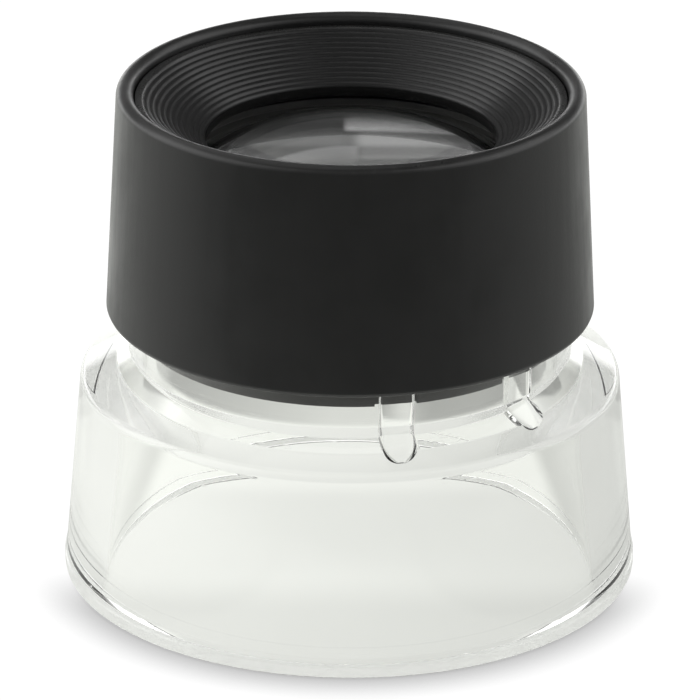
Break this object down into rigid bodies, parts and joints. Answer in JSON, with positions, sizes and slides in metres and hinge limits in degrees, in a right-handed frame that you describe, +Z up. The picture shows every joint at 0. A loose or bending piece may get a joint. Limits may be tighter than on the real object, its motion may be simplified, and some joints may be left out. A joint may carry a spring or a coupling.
{
  "type": "viewing loupe",
  "caption": "Standing magnifier for slides and negatives: clear stand, black eyepiece hood that turns to focus, ribbed cup and a lens tube guided by ribs.",
  "frame": {"origin": "centre of the stand's bottom rim, on the surface the loupe stands on", "axes": "+Z up along the optical axis, which is also the axis the hood turns on; -Y is the side seen in front, +X to the right of that view"},
  "size_m": [0.0538, 0.0538, 0.0469],
  "materials": {
    "clear_acrylic": "clear moulded acrylic, polished",
    "hood_plastic": "black moulded plastic, fine satin texture",
    "cup_plastic": "black moulded plastic, fine concentric ridges",
    "tube_plastic": "black moulded plastic",
    "ring_plastic": "black moulded plastic",
    "lens_acrylic": "clear optical acrylic, polished"
  },
  "bodies": {
    "stand": {"clear_stand": "clear_acrylic"},
    "lens_carrier": {"lens_tube": "tube_plastic", "upper_lens": "lens_acrylic", "lower_lens": "lens_acrylic", "lens_spacer": "ring_plastic", "retaining_ring": "ring_plastic", "thrust_ring": "ring_plastic"},
    "hood": {"eyepiece_hood": "hood_plastic", "ribbed_cup": "cup_plastic"}
  },
  "joints": [
    {"name": "focus_travel", "type": "slide", "parent": "stand", "child": "lens_carrier", "axis": [0, 0, 1], "range_m": [-0.002, 0.002]},
    {"name": "focus_turn", "type": "hinge", "parent": "lens_carrier", "child": "hood", "pos_m": [0, 0, 0.03755], "axis": [0, 0, 1], "range_deg": [-80.2, 80.2]}
  ],
  "couplings": [
    {"joint": "focus_turn", "follows": "focus_travel", "rad_per_m": 698.13}
  ]
}
